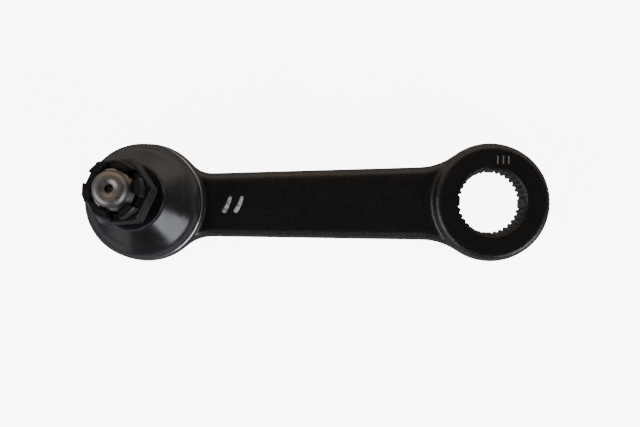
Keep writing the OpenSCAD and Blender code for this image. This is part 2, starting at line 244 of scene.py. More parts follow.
@dataclass(frozen=True)
class Skin:
    """A surface whose gloss varies and whose relief is fine."""

    glossy: float
    dull: float
    depth: float
    pattern_low: float = 0.3
    pattern_high: float = 0.7

    def inputs(self, tree: Tree, gloss: Socket, relief: Socket, under: Socket | None = None) -> Inputs:
        """Let patterns break up the gloss and raise the surface.

        Args:
            tree: the material's tree.
            gloss: the pattern that the gloss follows.
            relief: the pattern that the surface follows.
            under: the normal of a coarser relief below, if there is one.

        Returns:
            The shader's Roughness and Normal.
        """
        ramp = Ramp(self.pattern_low, self.pattern_high, self.glossy, self.dull)
        roughness = add_node(tree, "ShaderNodeMapRange", ramp.follow(gloss))
        raised: Inputs = {"Strength": 1.0, "Distance": self.depth * MM, "Height": relief}
        if under is not None:
            raised["Normal"] = under
        normal = add_node(tree, "ShaderNodeBump", raised)
        return {"Roughness": roughness.outputs["Result"], "Normal": normal.outputs["Normal"]}


@dataclass(frozen=True)
class BlackEnamel:
    """Black enamel sprayed on a blasted forging: dark, semi-gloss, with a grainy, gently uneven skin."""

    tones: Tones = ("#0b0a09", "#151311")
    ior: float = 1.5
    swell: Clouds = Clouds(9.0, 3.0)
    swell_depth: float = 0.22
    # Blasted grit is finer than a picture point, so its grain is drawn wider to show
    grain: Clouds = Clouds(0.9, 4.0, 0.62)
    skin: Skin = Skin(0.26, 0.4, 0.15)

    def material(self) -> Material:
        """Build the node material.

        Returns:
            The enamel.
        """
        material, tree, place = new_material("black_enamel")
        swell, tint = self.swell.mottle(tree, place, self.tones)
        grain = add_node(tree, "ShaderNodeTexNoise", self.grain.inputs(place)).outputs["Fac"]
        waves = {"Strength": 1.0, "Distance": self.swell_depth * MM, "Height": swell}
        uneven = add_node(tree, "ShaderNodeBump", waves)
        skin = self.skin.inputs(tree, grain, grain, uneven.outputs["Normal"])
        finish_material(tree, {"Base Color": tint, "IOR": self.ior, **skin})
        return material


@dataclass(frozen=True)
class BootRubber:
    """Moulded chloroprene rubber: near black, satin, with a faint bloom and fine moulding grain."""

    tones: Tones = ("#0b0b0c", "#19191b")
    ior: float = 1.52
    bloom: Clouds = Clouds(8.0, 4.0, 0.55)
    # The mould's texture is finer than a picture point, so it is drawn wider to show
    grain: Clouds = Clouds(0.6, 2.0)
    skin: Skin = Skin(0.17, 0.28, 0.006)

    def material(self) -> Material:
        """Build the node material.

        Returns:
            The rubber.
        """
        material, tree, place = new_material("moulded_rubber")
        bloom, tint = self.bloom.mottle(tree, place, self.tones)
        grain = add_node(tree, "ShaderNodeTexNoise", self.grain.inputs(place)).outputs["Fac"]
        skin = self.skin.inputs(tree, bloom, grain)
        finish_material(tree, {"Base Color": tint, "IOR": self.ior, **skin})
        return material


@dataclass(frozen=True)
class Steel:
    """Bare or phosphated steel with fine scratches and tonal patches left by machining and handling."""

    name: str
    tones: Tones
    skin: Skin
    metallic: float = 1.0
    patch: Clouds = Clouds(3.0, 5.0, 0.6)
    # Handling scratches are finer than a picture point, so they are drawn wider to show
    scratch: Clouds = Clouds(0.5, 3.0)

    def material(self) -> Material:
        """Build the node material.

        Returns:
            The steel.
        """
        material, tree, place = new_material(self.name)
        _, tint = self.patch.mottle(tree, place, self.tones)
        scratch = add_node(tree, "ShaderNodeTexNoise", self.scratch.inputs(place)).outputs["Fac"]
        skin = self.skin.inputs(tree, scratch, scratch)
        finish_material(tree, {"Base Color": tint, "Metallic": self.metallic, **skin})
        return material


@dataclass(frozen=True)
class TurnedSteel:
    """Lathe-turned steel: warm bright metal with rings around the axis that it was turned on."""

    axis_place: Place
    axis_turn: Place
    tones: Tones = ("#6a6661", "#89857f")
    patch: Clouds = Clouds(2.5, 4.0, 0.6)
    # The marks of a lathe tool are finer than a picture point, so they are drawn wider apart to show
    ring: float = 2.829
    ring_wobble: float = 0.6
    ring_detail: float = 2.0
    ring_detail_scale: float = 1.5
    skin: Skin = Skin(0.38, 0.52, 0.001)

    def material(self) -> Material:
        """Build the node material.

        Returns:
            The turned steel.
        """
        material, tree, place = new_material("turned_steel")
        axis = {"Vector": place, "Location": [v * MM for v in self.axis_place], "Rotation": self.axis_turn}
        local = add_node(tree, "ShaderNodeMapping", axis, vector_type="TEXTURE")
        marks = {
            "Vector": local.outputs["Vector"],
            "Scale": pattern_scale(self.ring) * WAVE_WIDTH,
            "Distortion": self.ring_wobble,
            "Detail": self.ring_detail,
            "Detail Scale": self.ring_detail_scale,
        }
        rings = add_node(tree, "ShaderNodeTexWave", marks, wave_type="RINGS", rings_direction="Z")
        patch, tint = self.patch.mottle(tree, place, self.tones)
        skin = self.skin.inputs(tree, patch, rings.outputs["Fac"])
        finish_material(tree, {"Base Color": tint, "Metallic": 1.0, **skin})
        return material


@dataclass(frozen=True)
class Resin:
    """Moulded acetal, unpainted: ivory and waxy, with a faint change of tone."""

    tones: Tones = ("#d9d3bf", "#c9c2aa")
    roughness: float = 0.38
    ior: float = 1.48
    patch: Clouds = Clouds(5.0, 3.0)

    def material(self) -> Material:
        """Build the node material.

        Returns:
            The resin.
        """
        material, tree, place = new_material("moulded_acetal")
        _, tint = self.patch.mottle(tree, place, self.tones)
        finish_material(tree, {"Base Color": tint, "Roughness": self.roughness, "IOR": self.ior})
        return material


@dataclass(frozen=True)
class MarkerPaint:
    """Paint-marker strokes: off-white and dull, thin enough in places for the black under it to show."""

    tones: Tones = ("#6e7070", "#d6d8d8")
    streak: Clouds = Clouds(1.6, 4.0, 0.6)
    cover: Ramp = Ramp(0.35, 0.6)
    skin: Skin = Skin(0.6, 0.6, 0.03)

    def material(self) -> Material:
        """Build the node material.

        Returns:
            The marker paint.
        """
        material, tree, place = new_material("marker_paint")
        streak, tint = self.streak.mottle(tree, place, self.tones, self.cover)
        finish_material(tree, {"Base Color": tint, **self.skin.inputs(tree, streak, streak)})
        return material


@dataclass(frozen=True)
class PaleFloor:
    """Back-lit white studio board: bright and almost without shadows, with the faintest tone."""

    tones: Tones = ("#ffffff", "#fbfbfb")
    glow: float = 8.0
    roughness: float = 0.9
    specular: float = 0.1
    patch: Clouds = Clouds(300.0, 1.0)

    def material(self) -> Material:
        """Build the node material.

        Returns:
            The floor.
        """
        material, tree, place = new_material("studio_board")
        _, tint = self.patch.mottle(tree, place, self.tones)
        board = {"Base Color": tint, "Roughness": self.roughness, "Specular IOR Level": self.specular}
        finish_material(tree, {**board, "Emission Color": tint, "Emission Strength": self.glow})
        return material


def smooth_by_angle(piece: Piece, angle: float) -> None:
    """Shade a piece smooth, with edges sharper than an angle in degrees left crisp."""
    piece.data.shade_smooth()
    piece.data.set_sharp_from_angle(angle=math.radians(angle))


def place_mesh(name: str, shape: Shape, angle: float = TURNED_ANGLE) -> Piece:
    """Turn a bmesh into an object at the origin, smooth up to an angle.

    Args:
        name: the object's name.
        shape: the bmesh, in metres; it is freed.
        angle: edges sharper than this many degrees stay crisp.

    Returns:
        The new object.
    """
    mesh = bpy.data.meshes.new(name)
    shape.to_mesh(mesh)
    shape.free()
    piece = bpy.data.objects.new(name, mesh)
    smooth_by_angle(piece, angle)
    bpy.context.scene.collection.objects.link(piece)
    return piece


def apply_modifiers(piece: Piece) -> None:
    """Bake a piece's modifiers into its mesh.

    Args:
        piece: the object to bake.
    """
    bpy.context.view_layer.update()
    evaluated = piece.evaluated_get(bpy.context.evaluated_depsgraph_get())
    mesh = bpy.data.meshes.new_from_object(evaluated)
    piece.modifiers.clear()
    piece.data = mesh


def combine(piece: Piece, tool: Piece, how: Cut) -> None:
    """Cut a tool out of a piece or join it on, and delete the tool.

    Args:
        piece: the object that changes.
        tool: the object that shapes it.
        how: whether the tool is removed or joined.
    """
    modifier = piece.modifiers.new("combine", "BOOLEAN")
    modifier.solver = "MANIFOLD"
    modifier.operation = how.value
    modifier.object = tool
    apply_modifiers(piece)
    bpy.data.objects.remove(tool)


def dress(piece: Piece, material: Material) -> None:
    """Give a piece one material all over.

    Args:
        piece: the object to dress.
        material: the material that it gets.
    """
    piece.data.materials.clear()
    piece.data.materials.append(material)
    for face in piece.data.polygons:
        face.material_index = 0


def arc(centre: Pair, radius: float, turn: Pair, steps: int) -> Outline:
    """Give points along a part of a circle.

    Args:
        centre: radius and height of the circle's centre.
        radius: the circle's radius.
        turn: the angles that it starts and ends at, in radians.
        steps: steps from the start to the end.

    Returns:
        Its points.
    """
    start, end = turn
    angles = [start + (end - start) * step / steps for step in range(steps + 1)]
    return [(centre[0] + radius * math.cos(a), centre[1] + radius * math.sin(a)) for a in angles]


def turned(profile: Outline, steps: int, closed: bool) -> Shape:
    """Spin a profile once around the Z axis.

    Args:
        profile: radius and height of each point.
        steps: steps in the turn.
        closed: whether the last point joins the first.

    Returns:
        The turned shape, in metres.
    """
    shape = bmesh.new()
    points = [shape.verts.new((radius * MM, 0, height * MM)) for radius, height in profile]
    pairs = list(zip(points, points[1:]))
    if closed:
        pairs.append((points[-1], points[0]))
    edges = [shape.edges.new(pair) for pair in pairs]
    bmesh.ops.spin(shape, geom=points + edges, **AROUND_Z, angle=math.tau, steps=steps, use_merge=True)
    bmesh.ops.remove_doubles(shape, verts=shape.verts, dist=MERGE * MM)
    bmesh.ops.recalc_face_normals(shape, faces=shape.faces)
    return shape


def add_cone(shape: Shape, span: Pair, radii: Pair, sides: int, place: Pair = (0.0, 0.0)) -> None:
    """Add an upright cone or cylinder to a shape.

    Args:
        shape: the bmesh that gets it.
        span: its lower and upper end.
        radii: its radius at the lower and the upper end.
        sides: its number of sides.
        place: its axis in plan.
    """
    low, high = span
    cone = bmesh.ops.create_cone(
        shape,
        cap_ends=True,
        segments=sides,
        radius1=radii[0] * MM,
        radius2=radii[1] * MM,
        depth=(high - low) * MM,
    )
    middle = (place[0] * MM, place[1] * MM, (low + high) / 2 * MM)
    bmesh.ops.translate(shape, verts=cone["verts"], vec=middle)


def round_cutter(name: str, span: Pair, radii: Pair, sides: int = 128) -> Piece:
    """Make a round cutter around the Z axis.

    Args:
        name: the object's name.
        span: its lower and upper end.
        radii: its radius at the lower and the upper end.
        sides: its number of sides.

    Returns:
        The cutter.
    """
    shape = bmesh.new()
    add_cone(shape, span, radii, sides)
    return place_mesh(name, shape)


def merged_copy(part: Part) -> Shape:
    """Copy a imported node's mesh and merge its loose triangles.

    Args:
        part: the node to copy.

    Returns:
        The merged copy, in metres.
    """
    shape = bmesh.new()
    shape.from_mesh(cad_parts[part.value].data)
    bmesh.ops.remove_doubles(shape, verts=shape.verts, dist=2 * MERGE * MM)
    return shape


def hand_over(piece: Piece, body: Body, slot: Slot, *parts: Part) -> None:
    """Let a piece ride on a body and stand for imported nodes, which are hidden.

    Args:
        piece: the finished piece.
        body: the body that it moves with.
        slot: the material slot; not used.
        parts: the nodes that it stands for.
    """
    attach(piece, body.value)
    if parts:
        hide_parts(*[part.value for part in parts])
    LOG.info("%s: %d faces", piece.name, len(piece.data.polygons))


@dataclass
class StudFrame:
    """The leaning axis of the ball stud, through the ball's centre."""

    centre: Place = (-140.0, 0.0, 16.61)
    lean: float = 9.0
    direction: float = 152.0

    def matrix(self, share: float = 1.0) -> Matrix:
        """Give the transform from the upright joint to its lean.

        Args:
            share: how much of the lean is taken.

        Returns:
            The transform, in metres.
        """
        turn = Matrix.Rotation(math.radians(self.direction), 4, "Z")
        tip = Matrix.Rotation(math.radians(self.lean * share), 4, "Y")
        return Matrix.Translation(Vector(self.centre) * MM) @ turn @ tip @ turn.inverted()

    def euler(self) -> Place:
        """Give the lean as Euler angles in radians."""
        return tuple(self.matrix().to_euler())

    def level(self, height: float) -> Vector:
        """Give the point straight above the ball's centre at a height over it, in metres."""
        return (Vector(self.centre) + Vector((0, 0, height))) * MM


@dataclass(frozen=True)
class SplinedBore:
    """The tapered bore of the eye with its serrations and chamfers."""

    height: float = 27.0
    tip_radius: float = 12.3
    taper: float = 16.0
    count: int = 36
    wide_teeth: int = 4
    depth: float = 0.9
    gap: float = 1.45
    root: float = 0.25
    turn: float = -2.0
    chamfer: float = 1.2
    over: float = 1.0

    def growth(self) -> float:
        """Give the growth of the radius over a length of one."""
        return 1 / (2 * self.taper)

    def serrated_cutter(self) -> Piece:
        """Make the serrated cutter: a ring of four points a tooth, filled and drawn out along the taper.

        Returns:
            The cutter.
        """
        shape = bmesh.new()
        ring = bmesh.ops.create_circle(shape, cap_ends=True, segments=4 * self.count, radius=1.0)["verts"]
        pitch = 360 / self.count
        half_gap = math.degrees(self.gap / 2 / self.tip_radius)
        half_root = math.degrees(self.root / 2 / (self.tip_radius + self.depth))
        for index, point in enumerate(ring):
            tooth, corner = divmod(index, 4)
            plain = tooth % (self.count // self.wide_teeth) == 0
            rise = 0.0 if plain or corner in (0, 3) else self.depth
            shift = (-half_gap, -half_root, half_root, half_gap)[corner]
            angle = math.radians(self.turn + tooth * pitch + shift)
            radius = (self.tip_radius + rise - self.over * self.growth()) * MM
            point.co = (radius * math.cos(angle), radius * math.sin(angle), -self.over * MM)
        drawn = bmesh.ops.extrude_face_region(shape, geom=list(shape.faces))["geom"]
        length = self.height + 2 * self.over
        for point in drawn:
            if isinstance(point, bmesh.types.BMVert):
                out = Vector((point.co.x, point.co.y, 0)).normalized()
                point.co += out * length * self.growth() * MM + Vector((0, 0, length * MM))
        bmesh.ops.recalc_face_normals(shape, faces=shape.faces)
        return place_mesh("serrated_cutter", shape)

    def cut(self, piece: Piece) -> None:
        """Cut the bore and its two chamfers.

        Args:
            piece: the arm.
        """
        small = self.tip_radius
        wide = small + self.height * self.growth()
        reach = self.chamfer + self.over
        top = (self.height - self.chamfer, self.height + self.over)
        cutters = (
            self.serrated_cutter(),
            round_cutter("top_chamfer", top, (wide, wide + reach)),
            round_cutter("low_chamfer", (-self.over, self.chamfer), (small + reach, small)),
        )
        for cutter in cutters:
            combine(piece, cutter, Cut.REMOVE)


@dataclass
class ForgedArm:
    """The forging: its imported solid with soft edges, a crisp bore and a crisp housing."""

    housing: Pair = (-140.0, 0.0)
    plug_radius_eye: float = 15.2
    plug_radius_housing: float = 18.6
    plug_sides: int = 96
    eye_height: float = 27.0
    housing_top: float = 29.0
    cell: float = 0.6
    relax: float = 0.5
    relax_rounds: int = 12
    lip_radius: float = 17.4
    lip_thickness: float = 1.4
    cover_radius: float = 18.95
    cover_depth: float = 3.85
    bearing_radius: float = 17.05
    bearing_top: float = 24.59
    over: float = 1.0
    ball_height: float = 16.61
    neck_radius: float = 7.5
    tilt_limit: float = 24.0
    mouth_gap: float = 0.35
    tick_place: Pair = (4.3, 17.0)
    tick_length: float = 3.4
    tick_width: float = 0.6
    tick_pitch: float = 2.2
    tick_depth: float = 0.35
    # Steel laid bare by a stamp: light grey and dull, with hardly any shine; the light grey is partly
    # painted highlight, standing in for the glint of the bare steel
    bare_steel_glint: Steel = Steel(
        "stamped_steel_painted_glint",
        ("#b6b4af", "#c4c2bd"),
        Skin(0.44, 0.58, 0.01),
        metallic=0.2,
        patch=Clouds(12.0, 5.0, 0.6),
    )
    bore: SplinedBore = SplinedBore()

    def softened(self) -> Piece:
        """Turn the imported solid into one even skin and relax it, so that every edge is soft.

        Returns:
            The arm without its bores.
        """
        shape = merged_copy(Part.ARM)
        # Plugs fill the bores, so that the softening leaves them alone
        eye, joint = self.plug_radius_eye, self.plug_radius_housing
        add_cone(shape, (0.0, self.eye_height), (eye, eye), self.plug_sides)
        add_cone(shape, (0.0, self.housing_top), (joint, joint), self.plug_sides, self.housing)
        piece = place_mesh("forged_arm", shape)
        remesh = piece.modifiers.new("even_skin", "REMESH")
        remesh.mode = "VOXEL"
        remesh.voxel_size = self.cell * MM
        apply_modifiers(piece)
        shape = bmesh.new()
        shape.from_mesh(piece.data)
        every_axis = {f"use_axis_{axis}": True for axis in "xyz"}
        for _ in range(self.relax_rounds):
            bmesh.ops.smooth_vert(shape, verts=shape.verts, factor=self.relax, **every_axis)
        shape.to_mesh(piece.data)
        shape.free()
        return piece

    def mouth_radius(self, height: float) -> float:
        """Give the mouth's radius at a height, which lets the stud's neck tip to its limit.

        Args:
            height: the height above the plane that the arm lies on.

        Returns:
            The radius.
        """
        tilt = math.radians(self.tilt_limit)
        rise = height - self.ball_height
        return self.neck_radius / math.cos(tilt) + rise * math.tan(tilt) + self.mouth_gap

    def cut_housing(self, piece: Piece) -> None:
        """Cut the housing's inside: the rolled lip, the cover's recess, the bearing bore and the mouth.

        Args:
            piece: the arm.
        """
        mouth = (self.bearing_top - self.over, self.housing_top + self.over)
        cuts = [
            ((-self.over, self.lip_thickness + self.over), (self.lip_radius, self.lip_radius)),
            ((self.lip_thickness, self.cover_depth), (self.cover_radius, self.cover_radius)),
            ((self.cover_depth - self.over, self.bearing_top), (self.bearing_radius, self.bearing_radius)),
            (mouth, (self.mouth_radius(mouth[0]), self.mouth_radius(mouth[1]))),
        ]
        for span, radii in cuts:
            cutter = round_cutter("housing_cutter", span, radii)
            cutter.data.transform(Matrix.Translation((self.housing[0] * MM, self.housing[1] * MM, 0)))
            combine(piece, cutter, Cut.REMOVE)

    def stamp_ticks(self, piece: Piece) -> None:
        """Stamp three plain ticks into the eye's face.

        Args:
            piece: the arm.
        """
        size = Vector((self.tick_width, self.tick_length, 2 * self.tick_depth)) * MM
        for index in (-1, 0, 1):
            across = self.tick_place[0] + index * self.tick_pitch
            centre = Vector((across, self.tick_place[1], self.eye_height)) * MM
            shape = bmesh.new()
            bmesh.ops.create_cube(shape, size=1.0)
            bmesh.ops.scale(shape, vec=size, verts=shape.verts)
            bmesh.ops.translate(shape, verts=shape.verts, vec=centre)
            combine(piece, place_mesh("tick_cutter", shape), Cut.REMOVE)

    def bare_ticks_painted_glint(self, piece: Piece) -> None:
        """Show bare steel where the stamp broke the paint, in a light grey that is partly a painted glint.

        Args:
            piece: the dressed arm.
        """
        # The ticks' light grey is real bare steel and partly a painted highlight for its glint
        piece.data.materials.append(self.bare_steel_glint.material())
        for face in piece.data.polygons:
            centre = face.center / MM
            across = abs(centre.x - self.tick_place[0]) < self.tick_pitch + self.tick_width
            along = abs(centre.y - self.tick_place[1]) < (self.tick_length + self.tick_width) / 2
            sunk = self.tick_depth / 3 < self.eye_height - centre.z < 2 * self.tick_depth
            if across and along and sunk:
                face.material_index = 1

    def build(self) -> None:
        """Build the arm and dress it."""
        piece = self.softened()
        self.bore.cut(piece)
        self.cut_housing(piece)
        self.stamp_ticks(piece)
        smooth_by_angle(piece, FORGED_ANGLE)
        dress(piece, BlackEnamel().material())
        self.bare_ticks_painted_glint(piece)
        hand_over(piece, Body.ARM, Slot.FORGING, Part.ARM)


@dataclass
class PaintMark:
    """Two slanted strokes of marker paint on the shank."""

    top: float = 22.75
    places: tuple[Pair, ...] = ((-107.3, -0.9), (-102.6, -0.9))
    length: float = 7.5
    width: float = 1.9
    thickness: float = 0.06
    slant: float = 24.0
    bend: float = 0.35
    thinning: float = 0.35
    cells_across: int = 6
    cells_along: int = 30

    def draw(self, point: bmesh.types.BMVert) -> None:
        """Pull one point of a square film onto a stroke with round ends that thins out and bends.

        Args:
            point: a point of a film that is one unit square, centred on the origin.
        """
        share = point.co.y + 0.5
        width = self.width * (1 - self.thinning * share)
        end = min(share, 1 - share) * self.length / (width / 2)
        rounding = math.sqrt(max(0.0, 1 - (1 - min(1.0, end)) ** 2))
        point.co.x = (point.co.x * width * rounding + self.bend * math.sin(math.pi * share)) * MM
        point.co.y *= self.length * MM

    def build(self) -> None:
        """Build the strokes as thin rounded films and dress them."""
        shape = bmesh.new()
        turn = Matrix.Rotation(math.radians(-self.slant), 3, "Z")
        level = (self.top + self.thickness) * MM
        for place in self.places:
            film = bmesh.ops.create_grid(
                shape, x_segments=self.cells_across, y_segments=self.cells_along, size=0.5
            )["verts"]
            for point in film:
                self.draw(point)
            bmesh.ops.rotate(shape, verts=film, cent=(0, 0, 0), matrix=turn)
            bmesh.ops.translate(shape, verts=film, vec=(place[0] * MM, place[1] * MM, level))
        bmesh.ops.remove_doubles(shape, verts=shape.verts, dist=MERGE * MM)
        bmesh.ops.recalc_face_normals(shape, faces=shape.faces)
        bmesh.ops.solidify(shape, geom=list(shape.faces), thickness=self.thickness * MM)
        piece = place_mesh("paint_mark", shape)
        dress(piece, MarkerPaint().material())
        hand_over(piece, Body.ARM, Slot.FORGING)


@dataclass
class DustBoot:
    """The rubber boot: a turned wall whose lean grows from the housing to the stud's neck."""

    stud: StudFrame
    base: float = 8.94
    base_radius: float = 23.15
    foot_inset: float = 0.3
    foot_rise: float = 0.25
    flank_radius: float = 22.8
    bead_radius: float = 19.3
    bead_top: float = 10.84
    ring_seat: float = 21.2
    ring_low: float = 9.74
    ring_high: float = 12.24
    groove_flare: float = 0.2
    groove_inset: float = 0.35
    groove_rise: float = 0.05
    flank_start: float = 12.54
    neck_start: float = 27.0
    neck_top: float = 31.5
    neck_radius: float = 13.4
    neck_bore: float = 9.7
    lip: float = 0.25
    lip_drop: float = 0.9
    # Inset and drop of both corners of the neck's rounded rim
    neck_rim: tuple[Pair, ...] = ((0.05, 0.25), (0.7, 0.0))
    rim_bore: float = 20.2
    rim_clear: float = 12.69
    wall: float = 2.2
    dome_power: float = 0.8
    roof_slope: float = 41.0
    shoulder: float = 5.5
    # Share of the shoulder's height at which a bend with the stud would start; the point is worked out but
    # not used
    bend_start: float = 0.75
    crease_radius: float = 19.4
    crease_depth: float = 0.12
    crease_width: float = 0.6
    flank_rings: int = 24
    sides: int = 128

    def dome(self, wide: Pair, narrow: Pair) -> Outline:
        """Give the points of a dome from its wide end to its narrow end.

        Args:
            wide: radius and height of the wide end.
            narrow: radius and height of the narrow end.

        Returns:
            Its points.
        """
        points = []
        for ring in range(self.flank_rings + 1):
            share = ring / self.flank_rings
            swell = math.cos(math.pi / 2 * share) ** self.dome_power if ring < self.flank_rings else 0.0
            radius = narrow[0] + (wide[0] - narrow[0]) * swell
            points.append((radius, wide[1] + (narrow[1] - wide[1]) * share))
        return points

    def flank(self) -> Outline:
        """Give the outside from the ring's groove to the neck: a round shoulder, then a creased roof.

        Returns:
            Its points.
        """
        slope = math.radians(self.roof_slope)
        foot = self.neck_radius + self.lip
        middle = self.base_radius - self.shoulder
        level = self.neck_start - (middle - foot) * math.tan(slope) - self.shoulder / math.cos(slope)
        shoulder = arc((middle, level), self.shoulder, (0.0, math.pi / 2 - slope), self.flank_rings)
        points = [(self.flank_radius, self.flank_start), *shoulder]
        edge = points[-1][0]
        for ring in range(1, self.flank_rings + 1):
            radius = edge + (foot - edge) * ring / self.flank_rings
            dip = self.crease_depth * math.exp(-(((radius - self.crease_radius) / self.crease_width) ** 2))
            points.append((radius, self.neck_start - (radius - foot) * math.tan(slope) - dip))
        return points

    def profile(self) -> Outline:
        """Give the wall's section, once around.

        Returns:
            Its points.
        """
        inside = self.dome((self.rim_bore, self.rim_clear), (self.neck_bore, self.neck_start - self.wall))
        return [
            (self.bead_radius, self.base),
            (self.base_radius - self.foot_inset, self.base),
            (self.base_radius, self.base + self.foot_rise),
            (self.base_radius, self.ring_low - self.groove_flare),
            (self.ring_seat, self.ring_low),
            (self.ring_seat, self.ring_high),
            (self.flank_radius - self.groove_inset, self.ring_high + self.groove_rise),
            *self.flank(),
            (self.neck_radius + self.lip, self.neck_top - self.lip_drop),
            *((self.neck_radius - inset, self.neck_top - drop) for inset, drop in self.neck_rim),
            (self.neck_bore, self.neck_top),
            *reversed(inside),
            (self.rim_bore, self.bead_top),
            (self.bead_radius, self.bead_top),
        ]

    def build(self) -> None:
        """Build the boot, lean it and dress it."""
        shape = turned(self.profile(), self.sides, closed=True)
        for point in shape.verts:
            height = point.co.z / MM
            share = min(1.0, max(0.0, (height - self.flank_start) / (self.neck_start - self.flank_start)))
            # A smooth step, so that the wall bends without a kink
            point.co = self.stud.matrix(share * share * (3 - 2 * share)) @ point.co
        piece = place_mesh("rubber_boot", shape, FORGED_ANGLE)
        dress(piece, BootRubber().material())
        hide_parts(Part.DUST_BOOT.value)
        lean = math.radians(self.stud.lean)
        neck_low = (self.neck_start - self.wall) * math.cos(lean) - self.neck_bore * math.sin(lean)
        foot = self.stud.level(self.flank_start + self.bend_start * self.shoulder)
        head = self.stud.level(neck_low)
        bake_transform(piece)
        LOG.info("%s: %d faces", piece.name, len(piece.data.polygons))


@dataclass
class BallStud:
    """The turned ball stud with its taper, thread, split pin hole and centre-drilled end."""

    stud: StudFrame
    ball_radius: float = 13.0
    ball_flat: float = 9.1
    ball_rings: int = 32
    flat_break: float = 0.4
    neck_radius: float = 7.5
    neck_flare: float = 2.5
    taper_start: float = 22.0
    taper_end: float = 40.0
    taper_radius: float = 9.4
    taper_tip_radius: float = 8.275
    undercut_radius: float = 7.05
    undercut_slope: float = 0.4
    thread_start: float = 42.4
    thread_lead: float = 0.8
    thread_end: float = 61.6
    thread_radius: float = 7.95
    thread_sides: int = 48
    core_radius: float = 7.1
    pitch: float = 1.5
    ridge_sink: float = 0.4
    # Width of the thread's ridge at its sunk foot, at the core and at its crest, as shares of the pitch
    ridge_foot: float = 0.98
    ridge_root: float = 0.86
    ridge_crest: float = 0.16
    reach: float = 66.0
    end_radius: float = 7.2
    end_slope: float = 0.6
    round_end: float = 2.8
    round_rings: int = 8
    dish_radius: float = 4.0
    dish_depth: float = 0.7
    dish_rings: int = 12
    drill_radius: float = 1.7
    drill_depth: float = 4.5
    pin_place: float = 57.5
    pin_radius: float = 1.9
    pin_turn: float = 34.5
    pin_sides: int = 32
    sides: int = 96

    def dished_end(self) -> Outline:
        """Give the soft dish that leads from the end face into the lathe centre.

        Returns:
            Its points.
        """
        points = []
        for ring in range(self.dish_rings + 1):
            share = ring / self.dish_rings
            radius = self.dish_radius + (self.drill_radius - self.dish_radius) * share
            points.append((radius, self.reach - self.dish_depth * (1 - math.cos(math.pi * share)) / 2))
        return points

    def profile(self) -> Outline:
        """Give the turned section from the ball's flat to the bottom of the centre hole.

        Returns:
            Its points.
        """
        flat_radius = math.sqrt(self.ball_radius**2 - self.ball_flat**2)
        flat = math.asin(-self.ball_flat / self.ball_radius)
        neck = math.acos(self.neck_radius / self.ball_radius)
        corner = (self.end_radius - self.round_end, self.reach - self.round_end)
        drill_end = self.reach - self.drill_depth
        return [
            (0.0, -self.ball_flat),
            (flat_radius - self.flat_break, -self.ball_flat),
            *arc((0.0, 0.0), self.ball_radius, (flat, neck), self.ball_rings),
            (self.neck_radius, self.taper_start - self.neck_flare),
            (self.taper_radius, self.taper_start),
            (self.taper_tip_radius, self.taper_end),
            (self.undercut_radius, self.taper_end + self.undercut_slope),
            (self.undercut_radius, self.thread_start - self.thread_lead),
            (self.core_radius, self.thread_start),
            (self.core_radius, self.thread_end),
            (self.end_radius, self.thread_end + self.end_slope),
            *arc(corner, self.round_end, (0.0, math.pi / 2), self.round_rings),
            *self.dished_end(),
            (self.drill_radius, drill_end),
            (0.0, drill_end - self.drill_radius / 2),
        ]

    def thread(self) -> Piece:
        """Make the thread's ridge by spinning its section up the stud.

        Returns:
            The ridge as an object.
        """
        shape = bmesh.new()
        half = self.pitch / 2
        rising = [
            (self.core_radius - self.ridge_sink, half * self.ridge_foot),
            (self.core_radius, half * self.ridge_root),
            (self.thread_radius, half * self.ridge_crest),
        ]
        section = [(radius, -width) for radius, width in rising] + rising[::-1]
        points = [shape.verts.new((r * MM, 0, (self.thread_start + h) * MM)) for r, h in section]
        edges = [shape.edges.new(pair) for pair in zip(points, points[1:] + points[:1])]
        shape.faces.new(points)
        turns = (self.thread_end - self.thread_start - half) / self.pitch
        steps = round(self.thread_sides * turns)
        rise = (0, 0, self.pitch * turns / steps * MM)
        turn = math.tau * turns
        bmesh.ops.spin(shape, geom=points + edges, **AROUND_Z, dvec=rise, angle=turn, steps=steps)
        bmesh.ops.holes_fill(shape, edges=[e for e in shape.edges if e.is_boundary], sides=0)
        bmesh.ops.recalc_face_normals(shape, faces=shape.faces)
        return place_mesh("thread_ridge", shape)

    def pin_cutter(self) -> Piece:
        """Make the cutter of the split pin hole, across the stud.

        Returns:
            The cutter.
        """
        reach = 2 * self.thread_radius
        radii = (self.pin_radius, self.pin_radius)
        cutter = round_cutter("pin_cutter", (-reach, reach), radii, self.pin_sides)
        turn = Matrix.Rotation(math.radians(self.pin_turn), 4, "Z") @ Matrix.Rotation(math.pi / 2, 4, "Y")
        cutter.data.transform(Matrix.Translation((0, 0, self.pin_place * MM)) @ turn)
        return cutter

    def build(self) -> None:
        """Build the stud, drill it, lean it and dress it."""
        piece = place_mesh("turned_stud", turned(self.profile(), self.sides, closed=False))
        combine(piece, self.thread(), Cut.JOIN)
        combine(piece, self.pin_cutter(), Cut.REMOVE)
        piece.data.transform(self.stud.matrix())
        smooth_by_angle(piece, TURNED_ANGLE)
        dress(piece, TurnedSteel(self.stud.centre, self.stud.euler()).material())
        hand_over(piece, Body.STUD, Slot.STEEL, Part.BALL_STUD)


